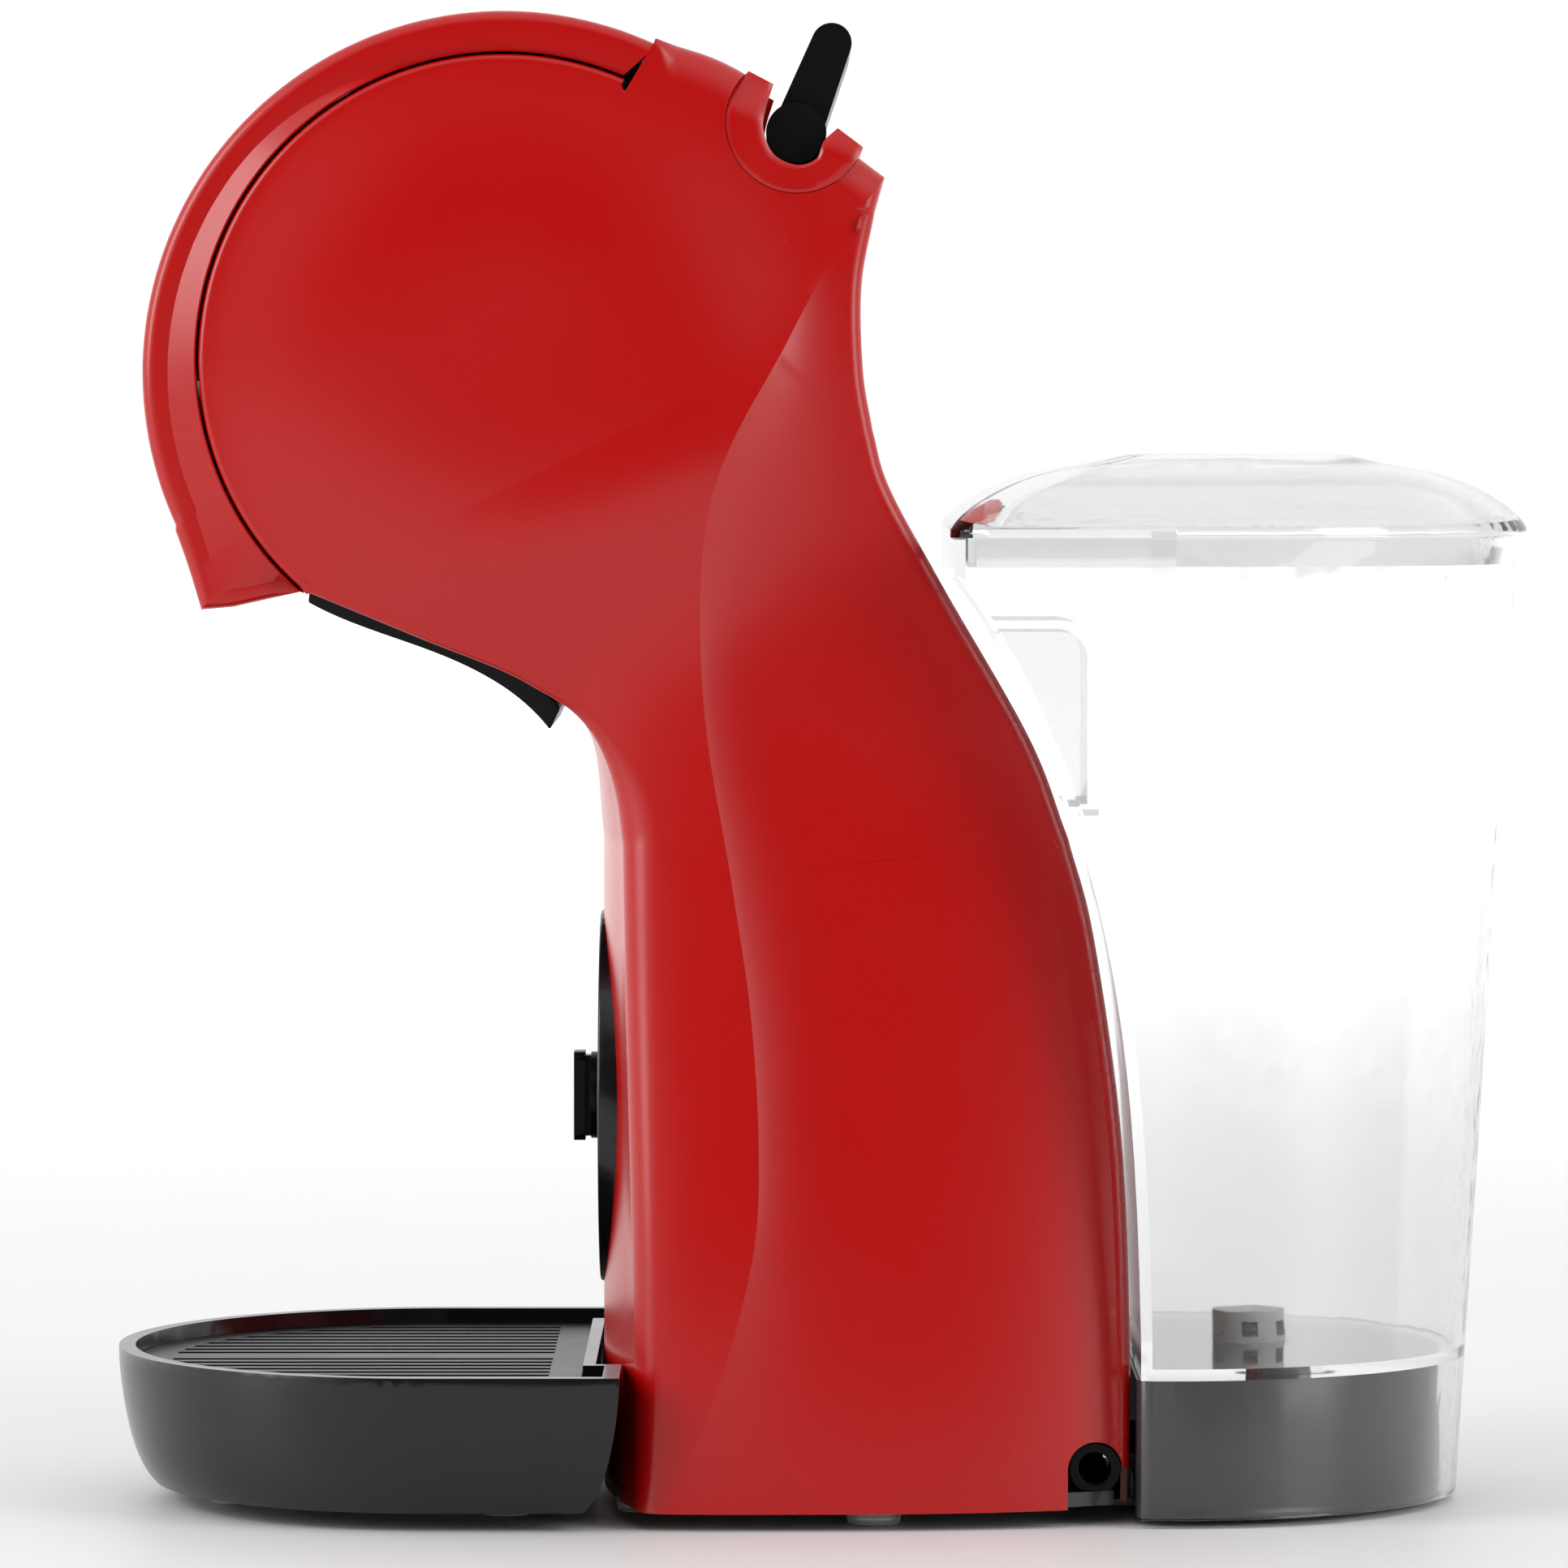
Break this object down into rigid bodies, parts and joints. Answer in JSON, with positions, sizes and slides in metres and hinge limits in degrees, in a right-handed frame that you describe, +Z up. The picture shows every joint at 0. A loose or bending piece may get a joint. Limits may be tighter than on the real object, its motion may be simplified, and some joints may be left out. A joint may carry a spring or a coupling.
{
  "type": "capsule espresso machine",
  "caption": "Compact capsule espresso machine with a round domed head, top locking lever, round control panel, drip tray and removable clear water tank.",
  "frame": {"origin": "on the table, under the middle of the machine's bounding box", "axes": "+X is the width, -Y is the front (drip tray), +Y is the back (water tank), +Z is up"},
  "size_m": [0.136, 0.272, 0.2848],
  "materials": {
    "red_shell": "gloss",
    "black_gloss": "gloss",
    "black_satin": "satin",
    "dark_grey": "satin",
    "coral_mark": "satin",
    "clear_plastic": "gloss",
    "clear_light": "gloss",
    "pale_plastic": "satin",
    "white_valve": "satin",
    "clear_rubber": "satin",
    "silicone": "satin",
    "steel": "satin",
    "cast_aluminium": "satin",
    "coil_black": "satin",
    "board_green": "satin"
  },
  "bodies": {
    "chassis": {"left_shell": "red_shell", "right_shell": "red_shell", "front_hood": "red_shell", "fascia": "black_gloss", "underside_cover": "black_satin", "lever_saddle": "red_shell", "lever_pin": "steel", "bell_crank_pin": "steel", "injector_inlet": "steel", "guide_rods": "steel", "brew_frame": "black_satin", "coffee_spout": "black_satin", "control_panel": "black_gloss", "selector_valve": "pale_plastic", "button_spring": "steel", "indicator_light": "clear_light", "control_board": "board_green", "pump_coil": "coil_black", "pump_barrel": "pale_plastic", "pump_springs": "steel", "pump_mounts": "silicone", "spine": "pale_plastic", "water_heater": "cast_aluminium", "thermostats": "steel", "base_plate": "dark_grey", "base_screws": "steel", "column_feet": "clear_rubber", "tank_stand": "dark_grey", "stand_nipple": "pale_plastic", "cord_gland": "black_satin", "suction_hose": "silicone", "pressure_hose": "silicone", "heater_hose": "silicone", "brew_hose": "silicone"},
    "locking_lever": {"locking_lever": "black_satin", "lever_mark": "coral_mark"},
    "push_rod": {"push_rod": "steel"},
    "bell_crank": {"bell_crank": "steel"},
    "injector": {"injector_carriage": "pale_plastic", "injector_needle": "steel", "injector_seal": "silicone"},
    "capsule_drawer": {"capsule_holder": "black_satin", "holder_face": "black_gloss"},
    "selector": {"selector_knob": "black_satin", "selector_spindle": "steel"},
    "power_button": {"power_button": "black_satin"},
    "pump_plunger": {"pump_plunger": "steel"},
    "tank": {"tank": "clear_plastic", "valve_cage": "pale_plastic", "valve_spring": "steel"},
    "tank_lid": {"tank_lid": "clear_plastic"},
    "tank_valve": {"tank_valve": "white_valve", "valve_seal": "silicone"},
    "drip_tray": {"drip_tray": "black_gloss", "tray_feet": "clear_rubber"},
    "drip_grid": {"drip_grid": "black_satin"}
  },
  "joints": [
    {"name": "lever_tilt", "type": "hinge", "parent": "chassis", "child": "locking_lever", "pos_m": [0, -0.005, 0.262], "axis": [1, 0, 0], "range_deg": [0, 38]},
    {"name": "push_rod_slide", "type": "slide", "parent": "chassis", "child": "push_rod", "axis": [0, 1, 0], "range_m": [0, 0.01062]},
    {"name": "bell_crank_turn", "type": "hinge", "parent": "chassis", "child": "bell_crank", "pos_m": [0, -0.0842, 0.22685], "axis": [-1, 0, 0], "range_deg": [0, 30.69]},
    {"name": "injector_lift", "type": "slide", "parent": "chassis", "child": "injector", "axis": [0, 0, 1], "range_m": [0, 0.0064]},
    {"name": "capsule_drawer_slide", "type": "slide", "parent": "chassis", "child": "capsule_drawer", "axis": [0, -1, 0], "range_m": [0, 0.062]},
    {"name": "selector_turn", "type": "hinge", "parent": "chassis", "child": "selector", "pos_m": [0, -0.045, 0.0775], "axis": [0, -1, 0], "range_deg": [-35, 35]},
    {"name": "power_button_press", "type": "slide", "parent": "chassis", "child": "power_button", "axis": [0, 1, 0], "range_m": [0, 0.0015], "stiffness_N_per_m": 300, "springref_m": -0.001, "deforming": ["button_spring"]},
    {"name": "plunger_stroke", "type": "slide", "parent": "chassis", "child": "pump_plunger", "axis": [0, 0, 1], "range_m": [-0.002, 0.002], "stiffness_N_per_m": 1500, "springref_m": 0.0002, "deforming": ["pump_springs"]},
    {"name": "tank_lift", "type": "slide", "parent": "chassis", "child": "tank", "axis": [0, 0, 1], "range_m": [0, 0.08]},
    {"name": "lid_lift", "type": "slide", "parent": "tank", "child": "tank_lid", "axis": [0, 0, 1], "range_m": [0, 0.03]},
    {"name": "valve_open", "type": "slide", "parent": "tank", "child": "tank_valve", "axis": [0, 0, 1], "range_m": [0, 0.002], "stiffness_N_per_m": 150, "springref_m": -0.003, "deforming": ["valve_spring"]},
    {"name": "tray_slide", "type": "slide", "parent": "chassis", "child": "drip_tray", "axis": [0, -1, 0], "range_m": [0, 0.1]},
    {"name": "grid_lift", "type": "slide", "parent": "drip_tray", "child": "drip_grid", "axis": [0, 0, 1], "range_m": [0, 0.02]}
  ],
  "couplings": [
    {"joint": "push_rod_slide", "follows": "lever_tilt", "m_per_rad": 0.015708},
    {"joint": "bell_crank_turn", "follows": "lever_tilt", "ratio": 0.79458},
    {"joint": "injector_lift", "follows": "lever_tilt", "m_per_rad": 0.009425}
  ]
}
